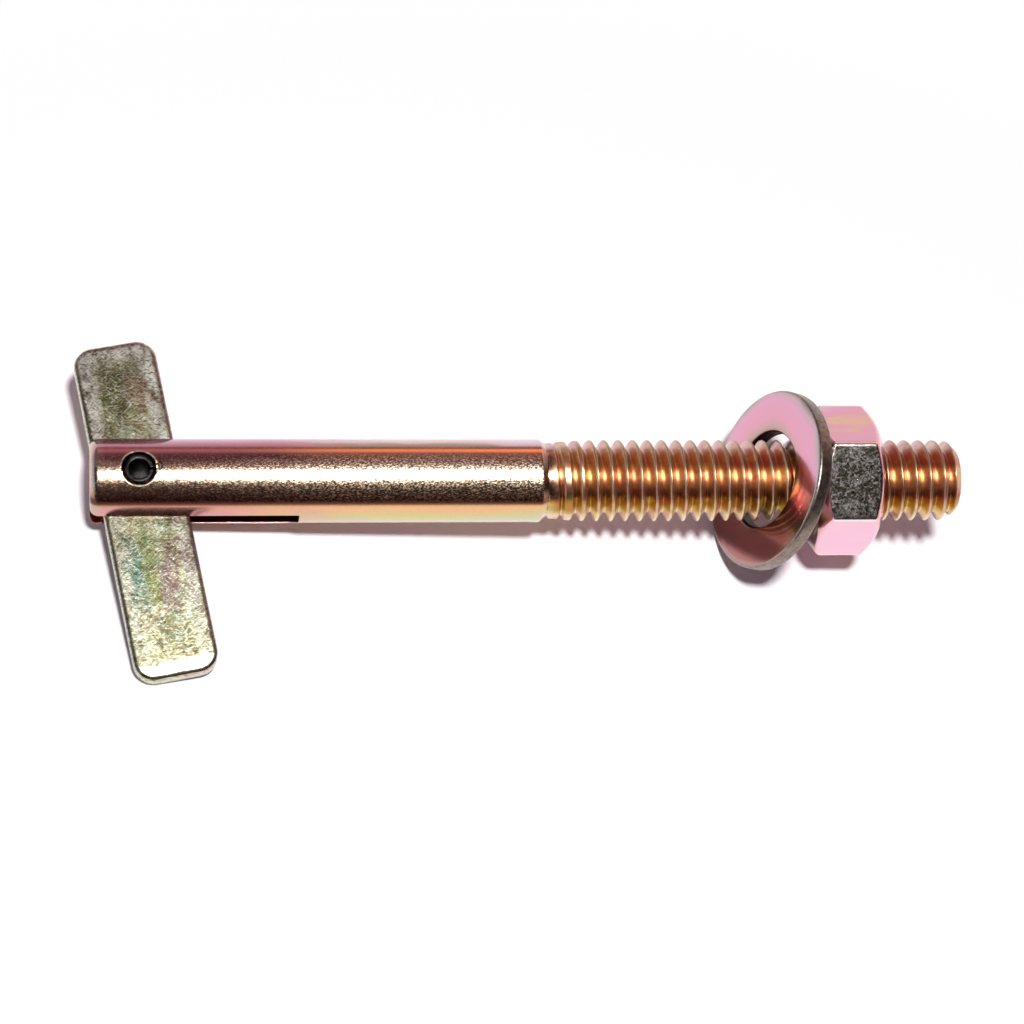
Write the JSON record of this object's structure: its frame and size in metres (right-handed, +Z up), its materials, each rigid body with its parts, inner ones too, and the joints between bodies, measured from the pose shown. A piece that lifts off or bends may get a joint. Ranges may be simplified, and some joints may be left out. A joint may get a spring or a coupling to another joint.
{
  "type": "pivoting cross-bar toggle bolt",
  "caption": "Plated toggle bolt: a slotted stud whose cross-bar pivots on a spring pin to grip behind a wall, with a flat washer and a hex nut on its threaded end.",
  "frame": {"origin": "on the floor that the part lies on, under the middle of its outline", "axes": "+Z up, +X along the stud's run from the slotted tip to the threaded end, +Y across it towards the short arm"},
  "size_m": [0.085, 0.033, 0.0167],
  "materials": {
    "plated_stud": "turned steel with iridescent yellow zinc plating",
    "plated_bar": "rough rolled strip with mottled yellow zinc plating",
    "pin_steel": "dark oiled spring steel",
    "plated_washer": "smooth stamped steel with pink yellow zinc plating",
    "plated_nut": "pressed steel with pink yellow zinc plating, flats pitted"
  },
  "bodies": {
    "stud": {"slotted_stud": "plated_stud", "spring_pin": "pin_steel"},
    "toggle": {"toggle_bar": "plated_bar"},
    "washer": {"flat_washer": "plated_washer"},
    "nut": {"hex_nut": "plated_nut"}
  },
  "joints": [
    {"name": "toggle_pivot", "type": "hinge", "parent": "stud", "child": "toggle", "pos_m": [-0.03627, 0.00286, 0.00422], "axis": [0.0671, 0.1744, -0.9824], "range_deg": [-49.3, 250.3]},
    {"name": "washer_slide", "type": "slide", "parent": "stud", "child": "washer", "axis": [0.9977, 0, 0.0681], "range_m": [-0.02398, 0.00776]},
    {"name": "nut_turn", "type": "hinge", "parent": "washer", "child": "nut", "pos_m": [0.03096, 0.00286, 0.00882], "axis": [0.9977, 0, 0.0681], "range_deg": [-6120, 1980]}
  ],
  "couplings": [
    {"joint": "nut_turn", "follows": "washer_slide", "rad_per_m": 4453}
  ]
}
